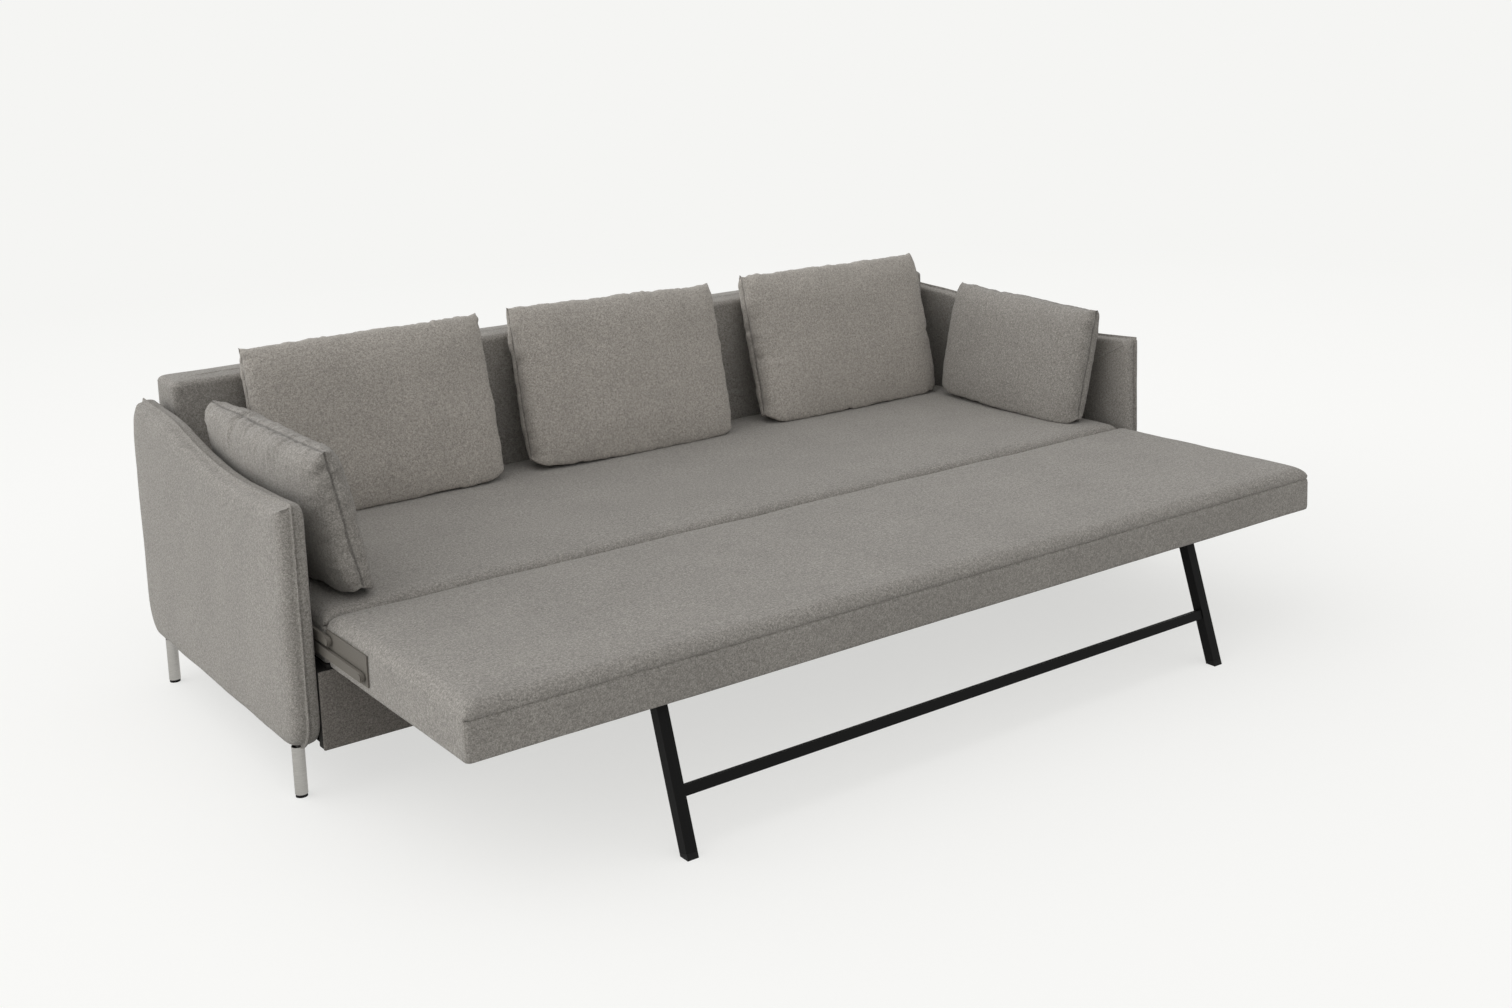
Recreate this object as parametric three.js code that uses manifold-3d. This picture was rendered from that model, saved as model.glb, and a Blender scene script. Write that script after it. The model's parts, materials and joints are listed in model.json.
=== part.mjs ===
// Sleeper sofa with a pull-out bed, bed pulled out.
// Millimetres, +X along the length, +Y to the back, +Z up, floor at zero.
import * as THREE from 'three';
import Module from 'manifold-3d';
import { mergeVertices } from 'three/addons/utils/BufferGeometryUtils.js';

const wasm = await Module();
wasm.setup();

// Fit
const touchGap = 0.3;
const pivotGap = 0.3;
const plateGap = 0.4;
const mergeDistance = 0.001;

// Whole sofa
const overallWidth = 2480;
const armThickness = 60;
const armDepth = 975;
const undersideHeight = 108;

// Arm outline, seen from the side
const armFrontHeight = 625;
const armDipDrop = 7;
const armPeakHeight = 684;
const armPeakFromRear = 50;
// Places along the top edge: at is a share of the arm depth, up a share of the climb to the peak
const armTopShares = [
  { at: 0.718, up: 0.833 },
  { at: 0.554, up: 0.303 },
  { at: 0.349, up: 0 },
  { at: 0.205, up: 0 },
];
const armBottomRadius = 70;
const armFrontRadius = 14;
const armRearStraight = 330;

// Arm section, from the inner face outwards
const armFaceInset = 1;
const armInnerEdge = 5;
const flangeReach = 3;
const flangeOut = 29;
const flangeThickness = 3;
const flangeSlope = 2;
const armOuterRound = 17;
const armOuterShares = [
  { out: 0.8, inset: 0.235 },
  { out: 0.933, inset: 0.53 },
  { out: 1, inset: 1 },
];

// Boards inside the arms and back
const boardThickness = 18;
const boardLift = 4;
const armBoardOut = 20;
const armBoardFront = 45;
const armBoardRear = 50;
const armBoardTop = 580;

// Back
const backThickness = 140;
const backSideGap = 15;
const backRearSetback = 3;
const backTop = 738;
const backEdgeRadius = 34;
const backCornerRadius = 26;
const backLowerRadius = 8;
const backBoardTop = 680;
const backBoardSide = 30;

// Seat levels
const sectionBottom = 283;
const rearSeatTop = 394;
const frontSeatTop = 393;
const seatEdgeRadius = 36;
const seatCornerRadius = 22;
const seatLowerRadius = 4;

// Fixed rear section
const rearSectionFront = 10;
const rearDeckThickness = 7.5;

// Moving front section
const frontSectionDepth = 614;
const sectionJoint = 2;
const frameRailHeight = 30;
const frameRailThickness = 20;
const deckThickness = 10;

// Base rails
const railTop = 275;
const railBottom = 150;
const railThickness = 22;
const frontPanelThickness = 6;
const frontRailThickness = 18;
const frontRailBottom = 112;
const railPlateGap = 1;
const rearRailFromBack = 47;
const beamWidth = 40;
const beamHeight = 60;
const dustThickness = 3;
const dustSide = 24;

// Round steel legs
const legDiameter = 27;
const legWall = 1.5;
const legUnderArm = 31;
const legFrontAt = 64;
const legFromRear = 95;
const glideHeight = 6;
const glideDiameter = 25;
const glideStemHeight = 14;

// Swing of the bed section
const parkedSetback = 12;
const landingGap = 7;
const travelBack = frontSectionDepth + sectionJoint + parkedSetback;
const travelUp = rearSeatTop - sectionBottom + landingGap;
const swingAngle = 2 * Math.atan2(travelBack, travelUp);
const linkRadius = travelUp / Math.sin(swingAngle);
const basePivotAt = 135;
const basePivotHeight = 320;
const pivotSpread = 160;
const pivotSpreadAngle = THREE.MathUtils.degToRad(10);

// Links and their plates
const linkThickness = 6;
const linkHeight = 20;
const boltRadius = 5;
const boltHeadRadius = 8;
const boltCollarThickness = 2.1;
const boltHeadThickness = 2.3;
const sectionPlateThickness = 3;
const sectionPlateMargin = 18;
const basePlateThickness = 6.7;
const basePlateDrop = 105;
const basePlateMargin = 22;

// Folding leg frame under the front section
const bedLegFromEnd = 415;
const bedLegTube = 25;
const bedLegWall = 2;
const bedLegTilt = THREE.MathUtils.degToRad(17.5);
const bedPivotFromFront = 44;
const bedPivotUp = 15;
const bedLegOverrun = 7;
const crossbarTube = 20;
const crossbarDown = 192;
const footCapHeight = 9;
const bracketThickness = 3;
const bracketLength = 44;
const bracketFlange = 25;
const bracketDrop = 27;
const pinRadius = 4;
const pinHeadRadius = 7;
const pinHeadThickness = 3;

// Loose back cushions, and the gaps beside them from left to right
const backCushionHeight = 440;
const backCushionTilt = THREE.MathUtils.degToRad(14);
const backCushionFromBack = 134;
const backCushionGaps = { leftArm: 152, leftMiddle: 43, middleRight: 91, rightArm: 94 };
const backCushionRadius = 46;
const backCushionEdge = 120;
const backCushionBelly = { rear: 50, front: 78 };
// Each layer: out is a share of the belly on that side, inset a share of the edge
const backCushionShares = [
  { out: -1, inset: 1 },
  { out: -0.88, inset: 0.55 },
  { out: -0.56, inset: 0.217 },
  { out: -0.16, inset: 0.025 },
  { out: 0.128, inset: 0.025 },
  { out: 0.564, inset: 0.217 },
  { out: 0.872, inset: 0.55 },
  { out: 1, inset: 1 },
];

// Loose side cushions
const sideCushionHeight = 340;
const sideCushionTilt = THREE.MathUtils.degToRad(12);
const sideCushionFromArm = 107;
const sideCushionRadius = 50;
const leftCushionFront = 12;
const leftCushionLength = 648;
const rightCushionLength = 575;
const rightCushionGap = 58;
const sideCushionEdge = 96;
const sideCushionBelly = { rear: 66, front: 50 };
const sideCushionShares = [
  { out: -1, inset: 1 },
  { out: -0.909, inset: 0.583 },
  { out: -0.636, inset: 0.208 },
  { out: -0.182, inset: 0.021 },
  { out: 0.24, inset: 0.021 },
  { out: 0.68, inset: 0.208 },
  { out: 0.92, inset: 0.583 },
  { out: 1, inset: 1 },
];

// Pads and outlines
const padCornerShare = 0.4;
const mitreShare = 0.5;

// Derived places
const armInner = overallWidth / 2 - armThickness;
const armTopFront = armFrontHeight - armFrontRadius;
const armDipHeight = armFrontHeight - armDipDrop;
const backFront = armDepth - backRearSetback - backThickness;
const backHalfWidth = armInner - backSideGap;
const rearSectionBack = backFront - touchGap;
const rearRailAt = backFront - rearRailFromBack;
const legAcross = armInner + legUnderArm;
const legRearAt = armDepth - legFromRear;

// From the arm inwards: base plate, bolt head, link, bolt collar, section plate, section
const basePlateInner = armInner - touchGap - basePlateThickness;
const boltHeadOuter = basePlateInner - plateGap;
const linkOuter = boltHeadOuter - boltHeadThickness - touchGap;
const linkInner = linkOuter - linkThickness;
const boltCollarInner = linkInner - touchGap - boltCollarThickness;
const sectionPlateInner = boltCollarInner - touchGap - sectionPlateThickness;
const sectionHalfWidth = sectionPlateInner - touchGap;
const sideRailOut = basePlateInner - railPlateGap;

const seatFront = -sectionJoint - frontSectionDepth;
const bedLegAcross = sectionHalfWidth - bedLegFromEnd;
const bedPivotAt = seatFront + bedPivotFromFront;
const bedPivotHeight = sectionBottom + bedPivotUp;
const backCushionFootAt = backFront - backCushionFromBack;
const rightCushionBack = backCushionFootAt - rightCushionGap;
const gaps = backCushionGaps;
const cushionRoom = gaps.leftArm + gaps.leftMiddle + gaps.middleRight + gaps.rightArm;
const backCushionWidth = (2 * armInner - cushionRoom) / 3;
const leftCushionMiddle = gaps.leftArm + backCushionWidth / 2 - armInner;
const middleCushionMiddle = leftCushionMiddle + backCushionWidth + gaps.leftMiddle;
const rightCushionMiddle = middleCushionMiddle + backCushionWidth + gaps.middleRight;
const spreadBack = pivotSpread * Math.cos(pivotSpreadAngle);
const spreadUp = pivotSpread * Math.sin(pivotSpreadAngle);
const basePivots = [
  new THREE.Vector2(basePivotAt, basePivotHeight),
  new THREE.Vector2(basePivotAt + spreadBack, basePivotHeight + spreadUp),
];
const sectionPivots = basePivots.map((p) => new THREE.Vector2(p.x - linkRadius, p.y));

// Finishes
const wovenFabric = { color: '#8f8b85', roughness: 0.95, metalness: 0 };
const panelFabric = { color: '#5f5b57', roughness: 0.95, metalness: 0 };
const cushionFabric = { color: '#86817b', roughness: 0.95, metalness: 0 };
const boardWood = { color: '#262422', roughness: 0.8, metalness: 0 };
const dustCloth = { color: '#1c1c1c', roughness: 1, metalness: 0 };
const brushedSteel = { color: '#b7b4b0', roughness: 0.35, metalness: 1 };
const blackCoat = { color: '#2a2b2c', roughness: 0.55, metalness: 0.3 };
const blackPlastic = { color: '#1d1d1e', roughness: 0.6, metalness: 0 };
const greyCoat = { color: '#7d7973', roughness: 0.6, metalness: 0.2 };

const sofa = new THREE.Group();
const frontSection = new THREE.Group();
const legFrame = new THREE.Group();
sofa.name = 'sleeper_sofa';
sofa.add(frontSection);
frontSection.add(legFrame);

function add(name, geometry, finish, group = sofa) {
  const mesh = new THREE.Mesh(geometry, new THREE.MeshStandardMaterial(finish));
  mesh.name = name;
  group.add(mesh);
  return mesh;
}

function addPair(name, geometry, finish, group = sofa) {
  add(`${name}_right`, geometry, finish, group);
  add(`${name}_left`, mirrored(geometry), finish, group);
}

// Axis-aligned block between two corners
function block(from, to) {
  const size = to.map((value, i) => value - from[i]);
  const middle = to.map((value, i) => (value + from[i]) / 2);
  const geometry = new THREE.BoxGeometry(size[0], size[1], size[2]);
  geometry.translate(middle[0], middle[1], middle[2]);
  return geometry;
}

function mirrored(geometry) {
  const copy = geometry.clone();
  copy.scale(-1, 1, 1);
  return outward(copy);
}

// Turn the faces outwards when the enclosed volume comes out negative
function outward(geometry) {
  const plain = geometry.index ? geometry.toNonIndexed() : geometry;
  const points = plain.getAttribute('position');
  const a = new THREE.Vector3();
  const b = new THREE.Vector3();
  const c = new THREE.Vector3();
  let volume = 0;
  for (let i = 0; i < points.count; i += 3) {
    a.fromBufferAttribute(points, i);
    b.fromBufferAttribute(points, i + 1);
    c.fromBufferAttribute(points, i + 2);
    volume += a.dot(b.cross(c));
  }
  if (volume >= 0) {
    return plain;
  }
  for (let i = 0; i < points.count; i += 3) {
    b.fromBufferAttribute(points, i + 1);
    c.fromBufferAttribute(points, i + 2);
    points.setXYZ(i + 1, c.x, c.y, c.z);
    points.setXYZ(i + 2, b.x, b.y, b.z);
  }
  return plain;
}

// Skin between equal outlines; place turns an outline point and its level into a 3-D point
function loft(rings, place) {
  const count = rings[0].outline.length;
  const positions = [];
  const corner = (ring, i) => place(rings[ring].outline[i % count], rings[ring].level);
  const triangle = (...points) => points.forEach((p) => positions.push(p.x, p.y, p.z));
  for (let ring = 0; ring + 1 < rings.length; ring++) {
    for (let i = 0; i < count; i++) {
      triangle(corner(ring, i), corner(ring, i + 1), corner(ring + 1, i + 1));
      triangle(corner(ring, i), corner(ring + 1, i + 1), corner(ring + 1, i));
    }
  }
  const last = rings.length - 1;
  for (const [i, j, k] of THREE.ShapeUtils.triangulateShape(rings[0].outline, [])) {
    triangle(corner(0, i), corner(0, k), corner(0, j));
  }
  for (const [i, j, k] of THREE.ShapeUtils.triangulateShape(rings[last].outline, [])) {
    triangle(corner(last, i), corner(last, j), corner(last, k));
  }
  const geometry = new THREE.BufferGeometry();
  geometry.setAttribute('position', new THREE.Float32BufferAttribute(positions, 3));
  return outward(geometry);
}

function roundedRectangle(width, height, radius, steps) {
  const x = width / 2 - radius;
  const y = height / 2 - radius;
  const points = [];
  const corners = [[x, y, 0], [-x, y, 1], [-x, -y, 2], [x, -y, 3]];
  for (const [cx, cy, quarter] of corners) {
    for (let i = 0; i <= steps; i++) {
      const angle = (quarter + i / steps) * Math.PI / 2;
      points.push(new THREE.Vector2(cx + radius * Math.cos(angle), cy + radius * Math.sin(angle)));
    }
  }
  return points;
}

// Upright slab with rounded plan corners and rounded upper edges
function pad(size, edgeRadius, cornerRadius, lowerRadius) {
  const edgeSteps = 5;
  const rings = [];
  const ring = (inset, level) => {
    const radius = Math.max(cornerRadius - inset * padCornerShare, lowerRadius);
    rings.push({
      outline: roundedRectangle(size.x - 2 * inset, size.y - 2 * inset, radius, 4),
      level,
    });
  };
  ring(lowerRadius, 0);
  ring(0, lowerRadius);
  for (let i = 0; i <= edgeSteps; i++) {
    const angle = i / edgeSteps * Math.PI / 2;
    const inset = edgeRadius * (1 - Math.cos(angle));
    ring(inset, size.z - edgeRadius * (1 - Math.sin(angle)));
  }
  return loft(rings, (p, level) => new THREE.Vector3(p.x, p.y, level));
}

// Move every corner of a closed outline inwards by the same distance
function insetOutline(outline, distance) {
  const count = outline.length;
  return outline.map((point, i) => {
    const before = point.clone().sub(outline[(i + count - 1) % count]).normalize();
    const after = outline[(i + 1) % count].clone().sub(point).normalize();
    const inward = new THREE.Vector2(-before.y - after.y, before.x + after.x).normalize();
    const share = Math.max(mitreShare, inward.dot(new THREE.Vector2(-before.y, before.x)));
    return point.clone().addScaledVector(inward, distance / share);
  });
}

// Triangles that keep three separate corners once the vertices are merged
function wholeTriangles(index) {
  const kept = [];
  for (let i = 0; i < index.length; i += 3) {
    const [a, b, c] = [index[i], index[i + 1], index[i + 2]];
    if (a !== b && b !== c && c !== a) {
      kept.push(a, b, c);
    }
  }
  return kept;
}

function toSolid(geometry) {
  const plain = geometry.index ? geometry.toNonIndexed() : geometry.clone();
  plain.deleteAttribute('normal');
  plain.deleteAttribute('uv');
  const merged = mergeVertices(plain, mergeDistance);
  const mesh = new wasm.Mesh({
    numProp: 3,
    vertProperties: Float32Array.from(merged.getAttribute('position').array),
    triVerts: Uint32Array.from(wholeTriangles(merged.index.array)),
  });
  return new wasm.Manifold(mesh);
}

function toGeometry(solid) {
  const mesh = solid.getMesh();
  const geometry = new THREE.BufferGeometry();
  geometry.setAttribute('position', new THREE.Float32BufferAttribute(mesh.vertProperties, 3));
  geometry.setIndex(Array.from(mesh.triVerts));
  return geometry;
}

function cut(geometry, ...tools) {
  let solid = toSolid(outward(geometry));
  for (const tool of tools) {
    solid = solid.subtract(toSolid(outward(tool)));
  }
  return toGeometry(solid);
}

// Round bar along X from a list of {at, radius} steps
function turnedAlongX(steps, y, z) {
  const profile = [new THREE.Vector2(0, steps[0].at)];
  for (const step of steps) {
    profile.push(new THREE.Vector2(step.radius, step.at));
  }
  profile.push(new THREE.Vector2(0, steps[steps.length - 1].at));
  const geometry = new THREE.LatheGeometry(profile, 20);
  geometry.rotateZ(-Math.PI / 2);
  geometry.translate(0, y, z);
  return outward(geometry);
}

// Side view of an arm: y to the right, z upwards
function armOutline() {
  const shape = new THREE.Shape();
  const rearLow = undersideHeight + armBottomRadius;
  shape.moveTo(armBottomRadius, undersideHeight);
  shape.lineTo(armDepth - armBottomRadius, undersideHeight);
  shape.absarc(armDepth - armBottomRadius, rearLow, armBottomRadius, -Math.PI / 2, 0, false);
  shape.lineTo(armDepth, armRearStraight);
  shape.lineTo(armDepth - armPeakFromRear, armPeakHeight);
  const climb = armPeakHeight - armDipHeight;
  const top = armTopShares.map(({ at, up }) => (
    new THREE.Vector2(armDepth * at, armDipHeight + climb * up)
  ));
  shape.splineThru([...top, new THREE.Vector2(armFrontRadius, armFrontHeight)]);
  shape.lineTo(0, armTopFront);
  shape.lineTo(0, rearLow);
  shape.absarc(armBottomRadius, rearLow, armBottomRadius, Math.PI, Math.PI * 1.5, false);
  const points = shape.getPoints(5);
  return points.filter((p, i) => p.distanceTo(points[(i + 1) % points.length]) > touchGap);
}

// Distance from the inner face and inset of the outline, layer by layer
function armLayers() {
  return [
    { out: 0, inset: armInnerEdge },
    { out: armInnerEdge - armFaceInset, inset: armFaceInset },
    { out: flangeOut - flangeSlope, inset: armFaceInset },
    { out: flangeOut, inset: -flangeReach },
    { out: flangeOut + flangeThickness, inset: -flangeReach },
    { out: flangeOut + flangeThickness + flangeSlope, inset: armFaceInset },
    ...armOuterShares.map((share) => ({
      out: armThickness * share.out,
      inset: armOuterRound * share.inset,
    })),
  ];
}

function armCover() {
  const outline = armOutline();
  const rings = armLayers().map((layer) => ({
    outline: insetOutline(outline, layer.inset),
    level: armInner + layer.out,
  }));
  const body = loft(rings, (p, level) => new THREE.Vector3(level, p.x, p.y));
  const pocket = block(
    [armInner + armBoardOut - touchGap, armBoardFront - touchGap, 0],
    [
      armInner + armBoardOut + boardThickness + touchGap,
      armDepth - armBoardRear + touchGap,
      armBoardTop + touchGap,
    ],
  );
  return cut(body, pocket);
}

function armBoard() {
  return block(
    [armInner + armBoardOut, armBoardFront, undersideHeight + boardLift],
    [armInner + armBoardOut + boardThickness, armDepth - armBoardRear, armBoardTop],
  );
}

function addArms() {
  addPair('arm_cover', armCover(), wovenFabric);
  addPair('arm_board', armBoard(), boardWood);
}

function addBack() {
  const size = new THREE.Vector3(2 * backHalfWidth, backThickness, backTop - undersideHeight);
  const body = pad(size, backEdgeRadius, backCornerRadius, backLowerRadius);
  body.translate(0, backFront + backThickness / 2, undersideHeight);
  const boardHalf = backHalfWidth - backBoardSide;
  const boardAt = backFront + (backThickness - boardThickness) / 2;
  const pocket = block(
    [-boardHalf - touchGap, boardAt - touchGap, 0],
    [boardHalf + touchGap, boardAt + boardThickness + touchGap, backBoardTop + touchGap],
  );
  add('back_cover', cut(body, pocket), wovenFabric);
  add('back_board', block(
    [-boardHalf, boardAt, undersideHeight + boardLift],
    [boardHalf, boardAt + boardThickness, backBoardTop],
  ), boardWood);
}

// Base frame between the arms
function addBase() {
  const frontRailAt = frontPanelThickness + touchGap;
  const frontRailBack = frontRailAt + frontRailThickness;
  const railInner = sideRailOut - railThickness;
  add('front_panel', block(
    [-armInner + touchGap, 0, undersideHeight],
    [armInner - touchGap, frontPanelThickness, railTop],
  ), panelFabric);
  add('front_rail', block(
    [-armInner + touchGap, frontRailAt, frontRailBottom],
    [armInner - touchGap, frontRailBack, railTop],
  ), boardWood);
  add('rear_rail', block(
    [-railInner + touchGap, rearRailAt, railBottom],
    [railInner - touchGap, rearRailAt + railThickness, railTop],
  ), boardWood);
  const sideRail = block(
    [railInner, frontRailBack + touchGap, railBottom],
    [sideRailOut, rearRailAt + railThickness, railTop],
  );
  addPair('side_rail', sideRail, boardWood);
  add('centre_beam', block(
    [-beamWidth / 2, frontRailBack + touchGap, railTop - beamHeight],
    [beamWidth / 2, rearRailAt - touchGap, railTop],
  ), boardWood);
  add('dust_cover', block(
    [-sideRailOut, frontRailBack + touchGap, frontRailBottom],
    [sideRailOut, backFront - dustSide, frontRailBottom + dustThickness],
  ), dustCloth);
}

function addRearSection() {
  const deckTop = railTop + touchGap + rearDeckThickness;
  add('rear_deck', block(
    [-sectionHalfWidth, rearSectionFront, railTop + touchGap],
    [sectionHalfWidth, rearSectionBack, deckTop],
  ), boardWood);
  const size = new THREE.Vector3(
    2 * sectionHalfWidth,
    rearSectionBack - rearSectionFront,
    rearSeatTop - deckTop - touchGap,
  );
  const shape = pad(size, seatEdgeRadius, seatCornerRadius, seatLowerRadius);
  const mattress = add('rear_mattress', shape, wovenFabric);
  mattress.position.set(0, (rearSectionFront + rearSectionBack) / 2, deckTop + touchGap);
}

// Round tube leg with a plastic glide pushed into its foot
function addRoundLegs() {
  const outer = legDiameter / 2;
  const inner = outer - legWall;
  const top = undersideHeight + armFaceInset - touchGap;
  const wall = [[inner, glideHeight + touchGap], [outer, glideHeight + touchGap], [outer, top]];
  const ring = [...wall, [inner, top], wall[0]].map(([r, z]) => new THREE.Vector2(r, z));
  const foot = glideDiameter / 2;
  const stem = inner - touchGap;
  const shoulder = glideHeight;
  const stemTop = shoulder + glideStemHeight;
  const plug = [[0, 0], [foot, 0], [foot, shoulder], [stem, shoulder], [stem, stemTop], [0, stemTop]];
  const places = [
    ['front_left', -legAcross, legFrontAt],
    ['front_right', legAcross, legFrontAt],
    ['rear_left', -legAcross, legRearAt],
    ['rear_right', legAcross, legRearAt],
  ];
  for (const [name, x, y] of places) {
    const tube = add(`leg_${name}`, upright(ring), brushedSteel);
    tube.position.set(x, y, 0);
    const plugShape = upright(plug.map(([r, z]) => new THREE.Vector2(r, z)));
    const glide = add(`glide_${name}`, plugShape, blackPlastic);
    glide.position.set(x, y, 0);
  }
}

function upright(profile) {
  const geometry = new THREE.LatheGeometry(profile, 28);
  geometry.rotateX(Math.PI / 2);
  return outward(geometry);
}

// Flat bar in the YZ plane with round ends and a bore at each pivot
function linkBar(from, to) {
  const along = to.clone().sub(from);
  const angle = Math.atan2(along.y, along.x);
  const half = linkHeight / 2;
  const shape = new THREE.Shape();
  shape.absarc(from.x, from.y, half, angle + Math.PI / 2, angle + Math.PI * 1.5, false);
  shape.absarc(to.x, to.y, half, angle - Math.PI / 2, angle + Math.PI / 2, false);
  for (const centre of [from, to]) {
    const bore = new THREE.Path();
    bore.absarc(centre.x, centre.y, boltRadius + pivotGap, 0, Math.PI * 2, true);
    shape.holes.push(bore);
  }
  return extrudedAcross(shape, linkInner, linkThickness, 10);
}

// Extrude a YZ shape along X, starting at the given distance from the middle
function extrudedAcross(shape, start, thickness, curveSegments) {
  const settings = { depth: thickness, bevelEnabled: false, curveSegments };
  const geometry = new THREE.ExtrudeGeometry(shape, settings);
  const turn = new THREE.Matrix4().set(0, 0, 1, start, 1, 0, 0, 0, 0, 1, 0, 0, 0, 0, 0, 1);
  geometry.applyMatrix4(turn);
  return outward(geometry);
}

function plateWithBores(corners, bores, start, thickness) {
  const shape = new THREE.Shape(corners.map(([y, z]) => new THREE.Vector2(y, z)));
  for (const centre of bores) {
    const bore = new THREE.Path();
    bore.absarc(centre.x, centre.y, boltRadius + pivotGap, 0, Math.PI * 2, true);
    shape.holes.push(bore);
  }
  return extrudedAcross(shape, start, thickness, 10);
}

function sectionPlate() {
  const [low, high] = sectionPivots;
  const margin = sectionPlateMargin;
  const corners = [
    [low.x - margin, low.y - margin],
    [high.x + margin, low.y - margin],
    [high.x + margin, high.y + margin],
    [low.x - margin, high.y + margin],
  ];
  return plateWithBores(corners, sectionPivots, sectionPlateInner, sectionPlateThickness);
}

function basePlate() {
  const [low, high] = basePivots;
  const margin = basePlateMargin;
  const corners = [
    [low.x - margin, low.y - basePlateDrop],
    [high.x + margin, low.y - basePlateDrop],
    [high.x + margin, high.y + margin],
    [low.x - margin, high.y + margin],
  ];
  return plateWithBores(corners, basePivots, basePlateInner, basePlateThickness);
}

// Shoulder bolt through a plate and a link, head on the far side of the link
function sectionBolt(pivot) {
  return turnedAlongX([
    { at: sectionPlateInner + touchGap, radius: boltRadius },
    { at: boltCollarInner, radius: boltRadius },
    { at: boltCollarInner, radius: boltHeadRadius },
    { at: linkInner - touchGap, radius: boltHeadRadius },
    { at: linkInner - touchGap, radius: boltRadius },
    { at: linkOuter + touchGap, radius: boltRadius },
    { at: linkOuter + touchGap, radius: boltHeadRadius },
    { at: boltHeadOuter, radius: boltHeadRadius },
  ], pivot.x, pivot.y);
}

function baseBolt(pivot) {
  return turnedAlongX([
    { at: boltCollarInner - touchGap + plateGap, radius: boltHeadRadius },
    { at: linkInner - touchGap, radius: boltHeadRadius },
    { at: linkInner - touchGap, radius: boltRadius },
    { at: linkOuter + touchGap, radius: boltRadius },
    { at: linkOuter + touchGap, radius: boltHeadRadius },
    { at: basePlateInner - touchGap, radius: boltHeadRadius },
    { at: basePlateInner - touchGap, radius: boltRadius },
    { at: armInner - 2 * touchGap, radius: boltRadius },
  ], pivot.x, pivot.y);
}

function addSwing() {
  addPair('base_plate', basePlate(), greyCoat);
  addPair('section_plate', sectionPlate(), greyCoat, frontSection);
  const names = ['main', 'guide'];
  names.forEach((name, i) => {
    addPair(`${name}_link`, linkBar(sectionPivots[i], basePivots[i]), greyCoat);
    addPair(`${name}_base_bolt`, baseBolt(basePivots[i]), greyCoat);
    addPair(`${name}_section_bolt`, sectionBolt(sectionPivots[i]), greyCoat, frontSection);
  });
}

function addFrontSection() {
  const railFloor = sectionBottom;
  const railCeiling = sectionBottom + frameRailHeight - touchGap;
  const back = -sectionJoint;
  const inner = sectionHalfWidth - frameRailThickness;
  add('section_rail_front', block(
    [-sectionHalfWidth, seatFront, railFloor],
    [sectionHalfWidth, seatFront + frameRailThickness, railCeiling],
  ), wovenFabric, frontSection);
  add('section_rail_rear', block(
    [-sectionHalfWidth, back - frameRailThickness, railFloor],
    [sectionHalfWidth, back, railCeiling],
  ), wovenFabric, frontSection);
  addPair('section_rail', block(
    [inner, seatFront + frameRailThickness + touchGap, railFloor],
    [sectionHalfWidth, back - frameRailThickness - touchGap, railCeiling],
  ), wovenFabric, frontSection);
  const deckFloor = sectionBottom + frameRailHeight;
  add('front_deck', block(
    [-sectionHalfWidth, seatFront, deckFloor],
    [sectionHalfWidth, back, deckFloor + deckThickness],
  ), boardWood, frontSection);
  const padFloor = deckFloor + deckThickness + touchGap;
  const size = new THREE.Vector3(2 * sectionHalfWidth, frontSectionDepth, frontSeatTop - padFloor);
  const shape = pad(size, seatEdgeRadius, seatCornerRadius, seatLowerRadius);
  const mattress = add('front_mattress', shape, wovenFabric, frontSection);
  mattress.position.set(0, (seatFront + back) / 2, padFloor);
}

// Point on the leaning bed leg: distance down from its pivot, distance forward across it
function onBedLeg(down, forward) {
  const sin = Math.sin(bedLegTilt);
  const cos = Math.cos(bedLegTilt);
  return new THREE.Vector2(
    bedPivotAt - down * sin - forward * cos,
    bedPivotHeight - down * cos + forward * sin,
  );
}

function bedLegLength() {
  return (bedPivotHeight - footCapHeight) / Math.cos(bedLegTilt);
}

function slantedBar(from, to, thickness, start, width) {
  const half = thickness / 2;
  const corners = [
    onBedLeg(from, -half),
    onBedLeg(to, -half),
    onBedLeg(to, half),
    onBedLeg(from, half),
  ];
  return extrudedAcross(new THREE.Shape(corners), start, width, 1);
}

function bedLeg() {
  const outerFrom = bedLegAcross - bedLegTube / 2;
  const length = bedLegLength();
  const body = slantedBar(-bedLegOverrun, length, bedLegTube, outerFrom, bedLegTube);
  const hollow = slantedBar(
    -bedLegOverrun - bedLegWall,
    length + bedLegWall,
    bedLegTube - 2 * bedLegWall,
    outerFrom + bedLegWall,
    bedLegTube - 2 * bedLegWall,
  );
  const bore = turnedAlongX([
    { at: outerFrom - bedLegWall, radius: pinRadius + pivotGap },
    { at: outerFrom + bedLegTube + bedLegWall, radius: pinRadius + pivotGap },
  ], bedPivotAt, bedPivotHeight);
  return cut(body, hollow, bore);
}

// Wedge foot, level on the floor
function footCap() {
  const half = bedLegTube / 2;
  const length = bedLegLength() + touchGap;
  const slope = Math.tan(bedLegTilt);
  const rear = onBedLeg(length, -half);
  const front = onBedLeg(length, half);
  const shape = new THREE.Shape([
    rear,
    new THREE.Vector2(rear.x - rear.y * slope, 0),
    new THREE.Vector2(front.x - front.y * slope, 0),
    front,
  ]);
  return extrudedAcross(shape, bedLegAcross - half, bedLegTube, 1);
}

function crossbar() {
  const half = crossbarTube / 2;
  const reach = bedLegAcross - bedLegTube / 2 - touchGap;
  return slantedBar(crossbarDown - half, crossbarDown + half, crossbarTube, -reach, 2 * reach);
}

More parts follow.
